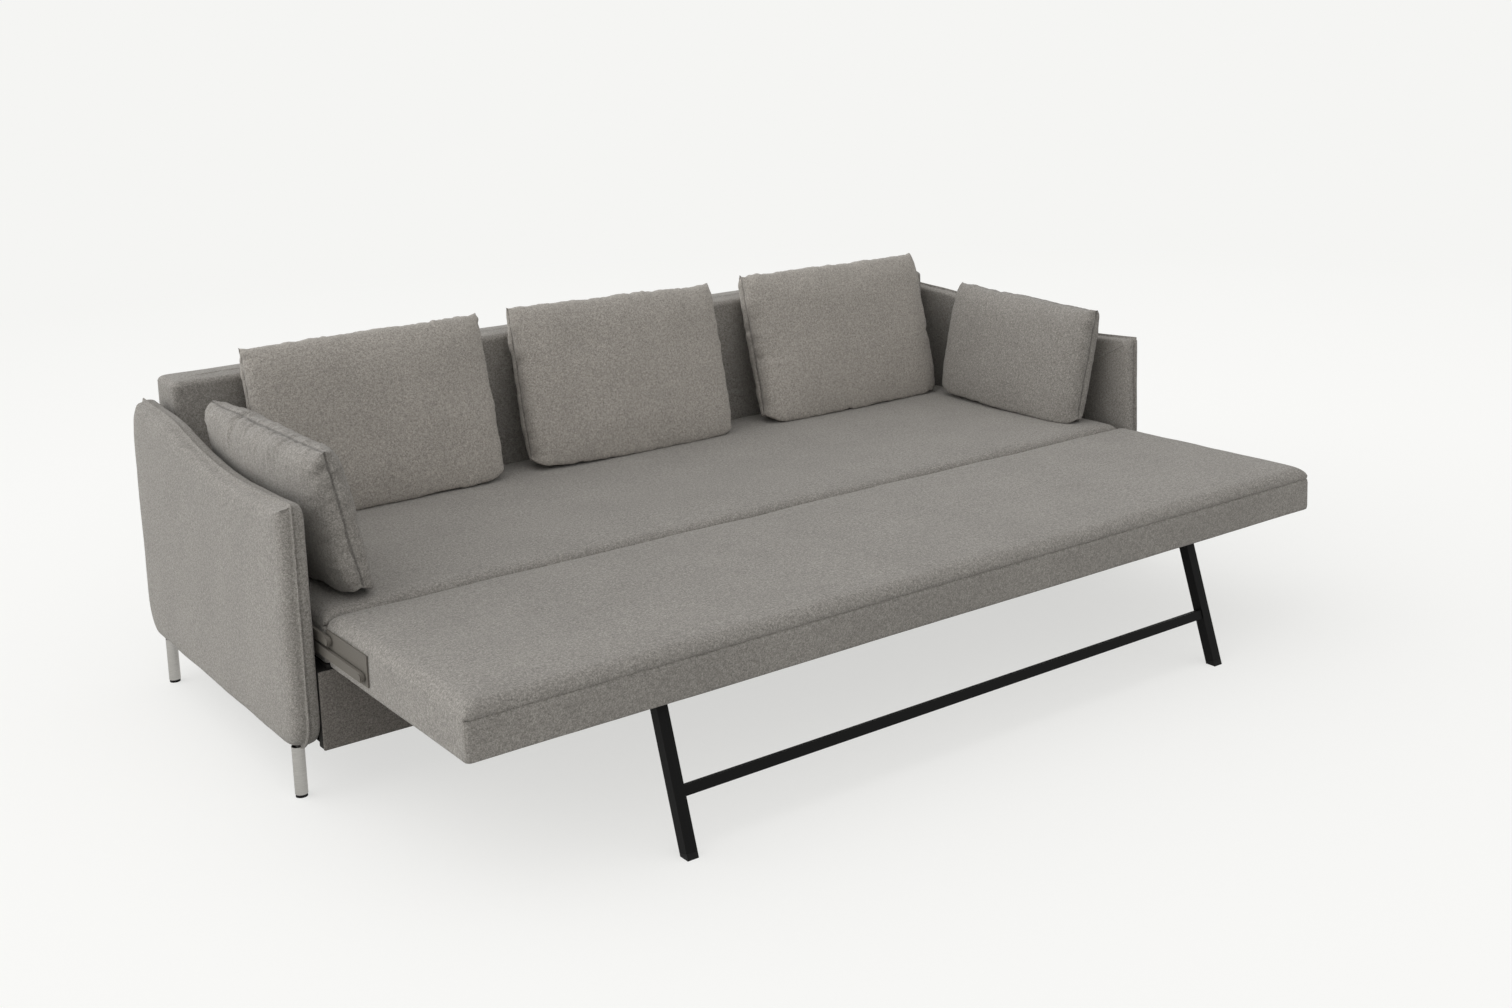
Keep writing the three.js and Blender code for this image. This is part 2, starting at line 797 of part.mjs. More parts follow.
// Angle under the deck carrying the pivot pin on the inner side of a bed leg
function legBracket() {
  const cheekOuter = bedLegAcross - bedLegTube / 2 - plateGap;
  const cheekInner = cheekOuter - bracketThickness;
  const top = sectionBottom + frameRailHeight - touchGap;
  const rear = bedPivotAt + bracketLength / 2;
  const front = bedPivotAt - bracketLength / 2;
  const whole = block([cheekInner - bracketFlange, front, top - bracketDrop], [cheekOuter, rear, top]);
  const away = block(
    [cheekInner - bracketFlange - touchGap, front - touchGap, top - bracketDrop - touchGap],
    [cheekInner, rear + touchGap, top - bracketThickness],
  );
  const bore = turnedAlongX([
    { at: cheekInner - bracketThickness, radius: pinRadius + pivotGap },
    { at: cheekOuter + bracketThickness, radius: pinRadius + pivotGap },
  ], bedPivotAt, bedPivotHeight);
  return cut(whole, away, bore);
}

function hingePin() {
  const legOuter = bedLegAcross + bedLegTube / 2 + plateGap;
  const cheekInner = bedLegAcross - bedLegTube / 2 - plateGap - bracketThickness - plateGap;
  return turnedAlongX([
    { at: cheekInner - pinHeadThickness, radius: pinHeadRadius },
    { at: cheekInner, radius: pinHeadRadius },
    { at: cheekInner, radius: pinRadius },
    { at: legOuter, radius: pinRadius },
    { at: legOuter, radius: pinHeadRadius },
    { at: legOuter + pinHeadThickness, radius: pinHeadRadius },
  ], bedPivotAt, bedPivotHeight);
}

function addLegFrame() {
  addPair('bed_leg', bedLeg(), blackCoat, legFrame);
  addPair('foot_cap', footCap(), blackPlastic, legFrame);
  addPair('leg_bracket', legBracket(), blackCoat, frontSection);
  addPair('hinge_pin', hingePin(), greyCoat, frontSection);
  add('crossbar', crossbar(), blackCoat, legFrame);
}

// Pillow standing on its long edge, its thickness along the level direction
function pillow(size, radius, edge, belly, shares, place) {
  const rings = shares.map((share) => {
    const inset = edge * share.inset;
    return {
      outline: roundedRectangle(size.x - 2 * inset, size.y - 2 * inset, radius, 5),
      level: share.out * (share.out < 0 ? belly.rear : belly.front),
    };
  });
  return loft(rings, place);
}

// Raise a leaning cushion until its lowest point is just above the seat
function seatOn(cushion, height) {
  cushion.updateMatrixWorld();
  const lowest = new THREE.Box3().setFromObject(cushion, true).min.z;
  cushion.position.z += height + touchGap - lowest;
}

function addBackCushions() {
  const size = new THREE.Vector2(backCushionWidth, backCushionHeight);
  const places = [
    ['left', leftCushionMiddle],
    ['middle', middleCushionMiddle],
    ['right', rightCushionMiddle],
  ];
  for (const [name, middle] of places) {
    const geometry = pillow(
      size,
      backCushionRadius,
      backCushionEdge,
      backCushionBelly,
      backCushionShares,
      (p, level) => new THREE.Vector3(p.x, -level, p.y + backCushionHeight / 2),
    );
    const cushion = add(`back_cushion_${name}`, geometry, cushionFabric);
    cushion.rotation.x = -backCushionTilt;
    cushion.position.set(middle, backCushionFootAt, 0);
    seatOn(cushion, rearSeatTop);
  }
}

function sideCushion(length) {
  return pillow(
    new THREE.Vector2(length, sideCushionHeight),
    sideCushionRadius,
    sideCushionEdge,
    sideCushionBelly,
    sideCushionShares,
    (p, level) => new THREE.Vector3(level, p.x, p.y + sideCushionHeight / 2),
  );
}

function addSideCushions() {
  const footOut = armInner - sideCushionFromArm;
  const right = add('side_cushion_right', sideCushion(rightCushionLength), cushionFabric);
  right.rotation.y = sideCushionTilt;
  right.position.set(footOut, rightCushionBack - rightCushionLength / 2, 0);
  seatOn(right, rearSeatTop);
  const shape = mirrored(sideCushion(leftCushionLength));
  const left = add('side_cushion_left', shape, cushionFabric);
  left.rotation.y = -sideCushionTilt;
  left.position.set(-footOut, leftCushionFront + leftCushionLength / 2, 0);
  seatOn(left, rearSeatTop);
}

addArms();
addBack();
addBase();
addRearSection();
addRoundLegs();
addSwing();
addFrontSection();
addLegFrame();
addBackCushions();
addSideCushions();

// Put the origin on the floor under the middle of the whole sofa
const bounds = new THREE.Box3().setFromObject(sofa, true);
sofa.position.y = -(bounds.min.y + bounds.max.y) / 2;

export default sofa;
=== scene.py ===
import json
import math

import bmesh
import bpy
from mathutils import Matrix, Vector, noise


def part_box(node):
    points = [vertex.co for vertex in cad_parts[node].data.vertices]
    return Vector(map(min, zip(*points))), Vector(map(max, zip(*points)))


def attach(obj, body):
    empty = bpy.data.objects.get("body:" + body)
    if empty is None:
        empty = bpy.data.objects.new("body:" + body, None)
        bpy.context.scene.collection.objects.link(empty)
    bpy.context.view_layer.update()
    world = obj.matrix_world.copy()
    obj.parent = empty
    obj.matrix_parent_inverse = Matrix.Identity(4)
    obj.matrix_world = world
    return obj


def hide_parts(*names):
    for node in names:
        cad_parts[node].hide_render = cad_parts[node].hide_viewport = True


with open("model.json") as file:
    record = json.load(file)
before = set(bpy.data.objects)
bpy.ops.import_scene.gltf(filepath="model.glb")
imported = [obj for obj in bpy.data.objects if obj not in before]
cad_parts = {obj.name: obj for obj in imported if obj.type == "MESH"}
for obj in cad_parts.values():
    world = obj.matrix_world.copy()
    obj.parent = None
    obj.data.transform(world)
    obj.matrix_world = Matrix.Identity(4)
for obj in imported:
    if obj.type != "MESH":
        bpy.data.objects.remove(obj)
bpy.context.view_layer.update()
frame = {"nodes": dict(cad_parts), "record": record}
scene = bpy.context.scene
mm = 0.001  # sizes are thought of in millimetres and used in metres
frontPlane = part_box("arm_cover_left")[0][1] + 3 * mm  # front of the arms, behind their sewn flange


# Colours and nodes

def colour(code):
    channels = [int(code[i:i + 2], 16) / 255 for i in (1, 3, 5)]
    linear = [c / 12.92 if c <= 0.04045 else ((c + 0.055) / 1.055) ** 2.4 for c in channels]
    return (*linear, 1.0)


def grey(level):
    return (level, level, level, 1.0)


# Inputs are keyed by the socket's name or number; each takes a value or another node's output
def addNode(tree, kind, inputs=None, stops=(), **settings):
    node = tree.nodes.new(kind)
    for key, value in settings.items():
        setattr(node, key, value)
    if stops:
        for element, (position, shade) in zip(node.color_ramp.elements, stops):
            element.position = position
            element.color = shade
    for key, value in (inputs or {}).items():
        if isinstance(value, bpy.types.NodeSocket):
            tree.links.new(value, node.inputs[key])
        else:
            node.inputs[key].default_value = value
    return node


def newMaterial(name, finish):
    material = bpy.data.materials.new(name)
    material.use_nodes = True
    tree = material.node_tree
    tree.nodes.clear()
    shader = addNode(tree, "ShaderNodeBsdfPrincipled", finish)
    addNode(tree, "ShaderNodeOutputMaterial", {"Surface": shader.outputs[0]})
    place = addNode(tree, "ShaderNodeTexCoord").outputs["Object"]
    return material, tree, shader, place


# Woven wool-look cover: the eye sees a warm grey melange, light and dark threads crossing every
# millimetre or so, slightly fuzzy at grazing angles, with no shine
weave = {
    "threadSize": 1.5 * mm, "cloudsPerMetre": 7.0,
    "flecksPerThread": 0.5, "crossingsPerThread": 0.9, "knotsPerThread": 0.26,
    "relief": 0.5 * mm, "reliefStrength": 0.6, "knotRelief": 2.5,
    "fleckTones": (0.34, 0.66), "crossingShade": ((0.0, 0.82), (0.55, 1.05)),
    "knotShade": ((0.34, 0.80), (0.66, 1.10)), "cloudShade": ((0.3, 0.95), (0.7, 1.04)),
    # painted shade: darkens the cloth along a cushion's seam groove
    "paintedSeamShade": ((0.35, 1.0), (0.75, 0.6)),
    "finish": {
        "Roughness": 0.95, "Specular IOR Level": 0.18, "Sheen Weight": 0.16, "Sheen Roughness": 0.55,
    },
}


def wovenFabric(name, lightCode, darkCode, threadSize=weave["threadSize"], withPaintedSeamShade=False):
    material, tree, shader, place = newMaterial(name, weave["finish"])
    flecks = addNode(tree, "ShaderNodeTexNoise", {
        "Vector": place, "Scale": weave["flecksPerThread"] / threadSize, "Detail": 4.0, "Roughness": 0.75,
    }).outputs["Fac"]
    crossings = addNode(tree, "ShaderNodeTexVoronoi", {
        "Vector": place, "Scale": weave["crossingsPerThread"] / threadSize,
    }).outputs["Distance"]
    knots = addNode(tree, "ShaderNodeTexNoise", {
        "Vector": place, "Scale": weave["knotsPerThread"] / threadSize, "Detail": 2.0, "Roughness": 0.6,
    }).outputs["Fac"]
    clouds = addNode(tree, "ShaderNodeTexNoise", {
        "Vector": place, "Scale": weave["cloudsPerMetre"], "Detail": 5.0,
    }).outputs["Fac"]
    shades = [
        (0.8, crossings, weave["crossingShade"]),
        (1.0, knots, weave["knotShade"]),
        (1.0, clouds, weave["cloudShade"]),
    ]
    # painted shade: the cloth is darkened along the seam groove, read from the seam points' attribute
    if withPaintedSeamShade:  # a cushion's seam points carry this attribute
        seam = addNode(tree, "ShaderNodeAttribute", attribute_name="seam").outputs["Fac"]
        shades.append((1.0, seam, weave["paintedSeamShade"]))
    tones = list(zip(weave["fleckTones"], (colour(darkCode), colour(lightCode))))
    cloth = addNode(tree, "ShaderNodeValToRGB", {"Fac": flecks}, tones).outputs["Color"]
    for share, pattern, stops in shades:
        greys = [(position, grey(level)) for position, level in stops]
        shade = addNode(tree, "ShaderNodeValToRGB", {"Fac": pattern}, greys).outputs["Color"]
        cloth = addNode(tree, "ShaderNodeMix", {0: share, 6: cloth, 7: shade},
                        data_type="RGBA", blend_type="MULTIPLY").outputs[2]
    tree.links.new(cloth, shader.inputs["Base Color"])
    threads = addNode(tree, "ShaderNodeMath", {0: flecks, 1: crossings}, operation="ADD").outputs[0]
    relief = addNode(tree, "ShaderNodeMath", {0: knots, 1: weave["knotRelief"], 2: threads},
                     operation="MULTIPLY_ADD").outputs[0]
    bump = addNode(tree, "ShaderNodeBump", {
        "Strength": weave["reliefStrength"], "Distance": weave["relief"], "Height": relief,
    })
    tree.links.new(bump.outputs[0], shader.inputs["Normal"])
    return material


# Brushed stainless tube: fine rings round the tube give a soft highlight up its length
brushed = {
    "linesPerMetre": (60, 60, 3200), "tones": ("#9c9a96", "#c0beba"),
    "roughness": (0.24, 0.42), "finish": {"Metallic": 1.0, "Anisotropic": 0.5},
}


def brushedSteel(name):
    material, tree, shader, place = newMaterial(name, brushed["finish"])
    stretch = addNode(tree, "ShaderNodeMapping", {"Vector": place, "Scale": brushed["linesPerMetre"]})
    lines = addNode(tree, "ShaderNodeTexNoise", {
        "Vector": stretch.outputs[0], "Scale": 1.0, "Detail": 3.0,
    }).outputs["Fac"]
    darker, lighter = (colour(code) for code in brushed["tones"])
    shade = addNode(tree, "ShaderNodeValToRGB", {"Fac": lines}, [(0.3, darker), (0.7, lighter)])
    tree.links.new(shade.outputs["Color"], shader.inputs["Base Color"])
    smoothest, roughest = brushed["roughness"]
    rough = addNode(tree, "ShaderNodeMapRange", {"Value": lines, "To Min": smoothest, "To Max": roughest})
    tree.links.new(rough.outputs[0], shader.inputs["Roughness"])
    return material


# Powder-coated steel and moulded plastic: one dull tone under a faint orange-peel grain
coat = {"grainsPerMetre": 900.0, "relief": 0.1 * mm, "reliefStrength": 0.25, "specular": 0.15}


def grainyCoat(name, darkCode, lightCode, roughness):
    finish = {"Roughness": roughness, "Specular IOR Level": coat["specular"]}
    material, tree, shader, place = newMaterial(name, finish)
    grain = addNode(tree, "ShaderNodeTexNoise", {
        "Vector": place, "Scale": coat["grainsPerMetre"], "Detail": 2.0,
    }).outputs["Fac"]
    shade = addNode(tree, "ShaderNodeValToRGB", {"Fac": grain},
                    [(0.3, colour(darkCode)), (0.75, colour(lightCode))])
    tree.links.new(shade.outputs["Color"], shader.inputs["Base Color"])
    bump = addNode(tree, "ShaderNodeBump", {
        "Strength": coat["reliefStrength"], "Distance": coat["relief"], "Height": grain,
    })
    tree.links.new(bump.outputs[0], shader.inputs["Normal"])
    return material


# Birch ply stained black: dull, with the grain still faintly there along the board
plyGrain = {"linesPerMetre": (3, 40, 60), "fineness": 1.5, "tones": ("#1c1a18", "#2b2926")}


def stainedPly(name):
    material, tree, shader, place = newMaterial(name, {"Roughness": 0.8})
    stretch = addNode(tree, "ShaderNodeMapping", {"Vector": place, "Scale": plyGrain["linesPerMetre"]})
    grain = addNode(tree, "ShaderNodeTexNoise", {
        "Vector": stretch.outputs[0], "Scale": plyGrain["fineness"], "Detail": 6.0,
    }).outputs["Fac"]
    darker, lighter = (colour(code) for code in plyGrain["tones"])
    shade = addNode(tree, "ShaderNodeValToRGB", {"Fac": grain}, [(0.3, darker), (0.7, lighter)])
    tree.links.new(shade.outputs["Color"], shader.inputs["Base Color"])
    return material


fabric = wovenFabric("woven melange fabric", "#aca8a2", "#76726d")
# painted light: the back cushions' cloth is a lighter copy of the cover fabric, for the light on their
# leaning fronts; its slightly warmer tone is their own
paintedLightCushionFabric = wovenFabric("woven cushion fabric lightened as painted light", "#c2bcb4", "#8a857f", 1.45 * mm, withPaintedSeamShade=True)
sideFabric = wovenFabric("woven side cushion fabric", "#aca8a2", "#76726d", withPaintedSeamShade=True)
# painted shade: the front panel's cloth is a darker copy of the cover fabric, standing in for the shade it
# sits in
paintedShadePanelFabric = wovenFabric("front panel fabric darkened as painted shade", "#96918b", "#615c57")

slotMaterials = {
    "woven_fabric": fabric,
    "covered_rail": fabric,
    "stained_ply": stainedPly("black stained ply"),
    "dust_cloth": wovenFabric("black dust cloth", "#202020", "#0c0c0c", 0.8 * mm),
    "brushed_steel": brushedSteel("brushed stainless steel"),
    "black_plastic": grainyCoat("black moulded plastic", "#101010", "#1c1c1c", 0.55),
    "black_powder_coat": grainyCoat("black powder coat", "#050505", "#0d0d0d", 0.6),
    "grey_powder_coat": grainyCoat("matt grey powder coat", "#67635d", "#7a766f", 0.65),
}
for entry in frame["record"]["subparts"]:
    nodeObject = frame["nodes"][entry["node"]]
    nodeObject.data.materials.clear()
    nodeObject.data.materials.append(slotMaterials[entry["material_slot"]])
print("materials made")


# Mesh helpers

skinWeld = 0.001 * mm


def faceOutward(mesh):
    bmesh.ops.recalc_face_normals(mesh, faces=mesh.faces[:])
    if mesh.calc_volume(signed=True) < 0:  # a thin tip at the far corner can fool the operator
        bmesh.ops.reverse_faces(mesh, faces=mesh.faces[:])


def finishMesh(name, mesh, material, body, nodes):
    faceOutward(mesh)
    for face in mesh.faces:
        face.smooth = True
    pieceMesh = bpy.data.meshes.new(name)
    mesh.to_mesh(pieceMesh)
    mesh.free()
    pieceMesh.materials.append(material)
    piece = bpy.data.objects.new(name, pieceMesh)
    scene.collection.objects.link(piece)
    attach(piece, body)
    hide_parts(*nodes)
    return piece


# Closed skin through equal rings of points: a grid with a ring in each row, welded where its sides meet.
# Extruding ring by ring gives the same skin, with its faces in another order each run.
def skinRings(rings):
    mesh = bmesh.new()
    columns = len(rings[0])
    rows = len(rings) - 1
    bmesh.ops.create_grid(mesh, x_segments=columns, y_segments=rows, size=1.0)
    for vert in mesh.verts:
        column = round((vert.co.x + 1) / 2 * columns) % columns
        row = round((vert.co.y + 1) / 2 * rows)
        vert.co = rings[row][column]
    bmesh.ops.remove_doubles(mesh, verts=mesh.verts[:], dist=skinWeld)
    rims = [edge for edge in mesh.edges if edge.is_boundary]
    caps = bmesh.ops.holes_fill(mesh, edges=rims)["faces"]
    bmesh.ops.poke(mesh, faces=caps)
    return mesh


# Rounded rectangle with a fixed count of points, so that rings of different size match point by point
def rectangleRing(width, depth, radius, stepsX, stepsY, stepsCorner):
    radius = max(radius, 0.5 * mm)
    x = width / 2 - radius
    y = depth / 2 - radius
    points = []
    corners = [(x, y), (-x, y), (-x, -y), (x, -y)]
    for quarter, (cx, cy) in enumerate(corners):
        for i in range(stepsCorner + 1):
            angle = (quarter + i / stepsCorner) * math.pi / 2
            points.append(Vector((cx + radius * math.cos(angle), cy + radius * math.sin(angle))))
        nextX, nextY = corners[(quarter + 1) % 4]
        nextAngle = (quarter + 1) * math.pi / 2
        start = points[-1]
        end = Vector((nextX + radius * math.cos(nextAngle), nextY + radius * math.sin(nextAngle)))
        steps = stepsX if quarter % 2 == 0 else stepsY
        points += [start.lerp(end, i / steps) for i in range(1, steps)]
    return points


# Level rings inside a node's box, from a profile of insets and heights
def padRings(low, high, profile, cornerAt, steps):
    width = (high.x - low.x) / mm
    depth = (high.y - low.y) / mm
    middle = Vector(((low.x + high.x) / 2, (low.y + high.y) / 2, 0))
    rings = []
    for inset, level in profile:
        sides = ((width - 2 * inset) * mm, (depth - 2 * inset) * mm)
        ring = rectangleRing(*sides, cornerAt(inset) * mm, *steps)
        rings.append([Vector((p.x, p.y, level * mm)) + middle for p in ring])
    return rings


# Soft unevenness; the seed moves the noise to a place of its own
def ripple(mesh, amount, size, seed, keep=None):
    mesh.normal_update()
    offset = Vector((seed, 2.3 * seed, 0.7 * seed))
    moves = []
    for vert in mesh.verts:
        value = noise.noise(vert.co / size + offset)
        share = keep(vert.co) if keep else 1.0
        moves.append(vert.normal * amount * value * share)
    for vert, move in zip(mesh.verts, moves):
        vert.co += move


# Arms: a bulging outer panel and a flatter inner one, sewn together with a pinched flange seam.
# Side outlines are in millimetres back from the arm's front and up from the floor.

arm = {
    "inner": 1180, "flange": 1209, "outer": 1239,  # out from the sofa's middle
    "bottom": 109, "rear": 975,
    "top": [(0, 627), (60, 624), (130, 621), (200, 619), (270, 618), (340, 619), (440, 627), (540, 640),
            (620, 656), (700, 672), (780, 680), (860, 684), (928, 689)],
    "rearLean": [(954, 655), (969, 610), (974, 540), (975, 430)],
    "cornerRadius": 70, "cornerSteps": 8, "spacing": 12, "middle": (470, 370),
    "innerRound": 34, "innerRise": 1.5, "innerInset": 8, "outerInset": 6,
    "innerShares": (0.04, 0.2, 0.35, 0.5, 0.62, 0.73, 0.82, 0.89, 0.94, 0.975),
    # out from the inner face, inset, share of the round shoulder
    "shoulder": [(2, 7, 1.0), (4, 4, 0.96), (8, 2, 0.88), (14, 0.6, 0.7), (20, 0.2, 0.45), (24.5, 0.8, 0.2)],
    # out from the flange's middle, inset
    "flangeSteps": [(-2.6, 3), (-1.3, -2), (-0.9, -5), (0.9, -5), (1.3, -2), (3.0, 3)],
    # share of the outline, share of the bulge
    "bulge": [(1.006, 0.24), (1.002, 0.45), (0.993, 0.64), (0.98, 0.78), (0.96, 0.88), (0.93, 0.94),
              (0.88, 0.98), (0.8, 1.0), (0.68, 1.0), (0.56, 1.0), (0.42, 1.0), (0.28, 1.0),
              (0.12, 1.0), (0.04, 1.0)],
    "longestEdge": 45, "ripples": [(1.5, 130, 3.1), (0.6, 38, 7.7)],
}


# A curve through every point, cut into steps of about the given length
def smoothLine(points, spacing):
    dense = []
    for i in range(len(points) - 1):
        before = Vector(points[max(i - 1, 0)])
        start = Vector(points[i])
        end = Vector(points[i + 1])
        after = Vector(points[min(i + 2, len(points) - 1)])
        steps = max(1, round((end - start).length / spacing))
        for k in range(steps):
            t = k / steps
            dense.append(0.5 * ((2 * start) + (end - before) * t
                                + (2 * before - 5 * start + 4 * end - after) * t * t
                                + (3 * start - before - 3 * end + after) * t ** 3))
    dense.append(Vector(points[-1]))
    return dense


def arcLine(centre, radius, startDegrees, endDegrees, steps):
    turn = endDegrees - startDegrees
    angles = [math.radians(startDegrees + turn * i / steps) for i in range(steps + 1)]
    return [Vector((centre[0] + radius * math.cos(a), centre[1] + radius * math.sin(a))) for a in angles]


def armOutline():
    r, low, rear, steps = (arm[key] for key in ("cornerRadius", "bottom", "rear", "cornerSteps"))
    spacing = arm["spacing"]
    lean = arm["rearLean"]
    line = smoothLine([(r, low), (rear - r, low)], spacing)[:-1]
    line += arcLine((rear - r, low + r), r, -90, 0, steps)[:-1]
    line += smoothLine([(rear, low + r), lean[-1]], spacing)[:-1]
    line += smoothLine([*lean[::-1], arm["top"][-1]], spacing)[:-1]
    line += smoothLine(arm["top"][::-1], spacing)[:-1]
    line += smoothLine([arm["top"][0], (0, low + r)], spacing)[:-1]
    line += arcLine((r, low + r), r, 180, 270, steps)[:-1]
    return line


def offsetOutline(outline, distance):
    moved = []
    count = len(outline)
    for i, point in enumerate(outline):
        before = (point - outline[i - 1]).normalized()
        after = (outline[(i + 1) % count] - point).normalized()
        inward = Vector((-before.y - after.y, before.x + after.x)).normalized()
        share = max(0.45, inward.dot(Vector((-before.y, before.x))))  # keeps sharp tips short
        moved.append(point + inward * distance / share)
    return moved


def makeArm(side, sign):
    outline = armOutline()
    middle = Vector(arm["middle"])

    def at(x, points):
        return [Vector((sign * x, p.x, p.y)) * mm + Vector((0, frontPlane, 0)) for p in points]

    def shrunk(share, points):
        return [middle + (p - middle) * share for p in points]

    # The inner panel falls away in a round shoulder beside the pointed front tip
    def shouldered(inset, radius):
        points = []
        heart = Vector((radius, arm["top"][0][1] - radius))
        for p in offsetOutline(outline, inset):
            away = p - heart
            if p.x < heart.x and p.y > heart.y and away.length > radius - inset:
                p = heart + away.normalized() * (radius - inset)
            points.append(p)
        return points

    inner, flange, innerRound = (arm[key] for key in ("inner", "flange", "innerRound"))
    innerPanel = shouldered(arm["innerInset"], innerRound)
    outerPanel = offsetOutline(outline, arm["outerInset"])
    bulge = arm["outer"] - flange
    rings = [at(inner + arm["innerRise"], shrunk(share, innerPanel)) for share in arm["innerShares"]]
    rings += [at(inner + out, shouldered(inset, innerRound * share)) for out, inset, share in arm["shoulder"]]
    rings += [at(flange + out, offsetOutline(outline, inset)) for out, inset in arm["flangeSteps"]]
    rings += [at(flange + bulge * rise, shrunk(share, outerPanel)) for share, rise in arm["bulge"]]
    mesh = skinRings(rings)
    longEdges = [edge for edge in mesh.edges if edge.calc_length() > arm["longestEdge"] * mm]
    bmesh.ops.subdivide_edges(mesh, edges=longEdges, cuts=2, use_grid_fill=True)
    for amount, size, seed in arm["ripples"]:
        ripple(mesh, amount * mm, size * mm, seed + sign)
    return finishMesh("arm_upholstery_" + side, mesh, fabric, "base", ["arm_cover_" + side])


makeArm("left", -1)
makeArm("right", 1)
print("arms made")


# Seat sections: a foam top rolled over a seam that runs along front and back, with a plain band below

seat = {
    "bottom": 283, "seamDrop": 31, "edgeRadius": 30, "cornerRadius": 9, "cornerSpread": 0.5,
    "spreadTo": 26, "steps": (120, 34, 5),
    "underside": [(40, 1.0), (14, 0.5), (5, 1.0), (1.6, 3), (0.8, 7)],  # inset, height over the bottom
    "bandInset": 0.4, "bandTop": 8, "bandSteps": 6,
    "seamSteps": [(0.9, -4.5), (2.52, -1.8), (5.1, 0), (2.1, 2), (0.5, 5.5)],  # inset, height over the seam
    "edgeLift": 6, "edgeFrom": 8, "edgeTurn": 78, "edgeSteps": 6,
    "topInsets": (42, 56, 72, 90, 110, 132, 156, 182, 210, 240, 270, 300), "middleGap": 30,
    "crown": 4, "crownFrom": 30, "crownReach": 45,
    "endDepth": 7, "endFrom": 8, "endTo": 7, "endSide": 6, "endFlat": 0.5, "endRoll": 44, "endPull": 7,
    "ripples": [(2.2, 210, 0), (0.8, 52, 4)], "bandCalm": 0.35,
    "seamRipple": (1.3, 17, 9), "seamReach": 9,
}
seatSections = [
    {"name": "rear_seat_upholstery", "body": "base", "seed": 11.0, "nodes": ["rear_mattress"]},
    {"name": "front_seat_upholstery", "body": "front_section", "seed": 23.0,
     "nodes": ["front_mattress", "front_deck", "section_rail_front", "section_rail_rear",
               "section_rail_left", "section_rail_right"]},
]


def seatLevels(bottom, seam, top, depth):
    radius = seat["edgeRadius"]
    lift = seat["edgeLift"]
    profile = [(inset, bottom + rise) for inset, rise in seat["underside"]]
    band = seam - seat["bandTop"] - bottom
    steps = seat["bandSteps"]
    profile += [(seat["bandInset"], bottom + band * i / steps) for i in range(1, steps + 1)]
    profile += [(inset, seam + rise) for inset, rise in seat["seamSteps"]]
    for i in range(seat["edgeSteps"] + 1):
        angle = math.radians(seat["edgeFrom"] + seat["edgeTurn"] * i / seat["edgeSteps"])
        profile.append((radius * (1 - math.cos(angle)), seam + lift + (top - seam - lift) * math.sin(angle)))
    for inset in seat["topInsets"]:
        if inset < depth / 2 - seat["middleGap"]:
            rise = seat["crown"] * (1 - math.exp(-(inset - seat["crownFrom"]) / seat["crownReach"]))
            profile.append((inset, top + rise))
    return profile


# The ends have no seam: the cover rolls over them in one soft curve
def rollEnds(mesh, halfWidth, halfDepth, middleY, bottom, seam, top):
    roll = seat["endRoll"]
    for vert in mesh.verts:
        fromEnd = halfWidth - abs(vert.co.x) / mm
        height = vert.co.z / mm
        onEnd = fromEnd < seat["endDepth"] and bottom + seat["endFrom"] < height < seam + seat["endTo"]
        if onEnd and abs(vert.co.y - middleY) / mm < halfDepth - seat["endSide"]:
            vert.co.x = math.copysign((halfWidth - seat["endFlat"]) * mm, vert.co.x)
        if height > top - roll and fromEnd < roll:
            risen = max(0.0, (height - top + roll) / roll)
            pulled = seat["endPull"] * risen ** 2 * (1 - fromEnd / roll)
            vert.co.x -= math.copysign(pulled * mm, vert.co.x)


def makeSeat(settings):
    low, high = (Vector(corner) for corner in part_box(settings["nodes"][0]))
    width = (high.x - low.x) / mm
    depth = (high.y - low.y) / mm
    top = high.z / mm
    bottom = seat["bottom"]
    seam = top - seat["seamDrop"]
    seed = settings["seed"]

    def cornerAt(inset):
        return seat["cornerRadius"] + seat["cornerSpread"] * min(inset, seat["spreadTo"])

    def calmBand(co):
        return seat["bandCalm"] if co.z < (seam + 2) * mm else 1.0

    def nearSeam(co):
        return math.exp(-abs(co.z - seam * mm) / (seat["seamReach"] * mm))

    mesh = skinRings(padRings(low, high, seatLevels(bottom, seam, top, depth), cornerAt, seat["steps"]))
    rollEnds(mesh, width / 2, depth / 2, (low.y + high.y) / 2, bottom, seam, top)
    for amount, size, shift in seat["ripples"]:
        ripple(mesh, amount * mm, size * mm, seed + shift, calmBand)
    amount, size, shift = seat["seamRipple"]
    ripple(mesh, amount * mm, size * mm, seed + shift, nearSeam)
    return finishMesh(settings["name"], mesh, fabric, settings["body"], settings["nodes"])


for settings in seatSections:
    makeSeat(settings)
print("seats made")


# Back: an upholstered slab between the arms with a soft rolled top

backRest = {
    "radius": 15, "rollTurn": 84, "rollSteps": 8, "steps": (110, 8, 5),
    "underside": [(30, 0.6), (8, 0.4), (2, 2), (0.5, 8)],  # inset, height over the bottom
    "wallInset": 0.3, "wallFrom": 10, "wallTo": 2, "wallSteps": 22,
    "top": [(20, 0.3), (30, 1.0), (44, 1.8), (60, 2)],  # inset, height over the top
    "cornerRadius": 16, "cornerTaper": 0.3, "leastCorner": 3,
    "ripples": [(1.8, 190, 31.0), (0.6, 45, 36.0)],
}


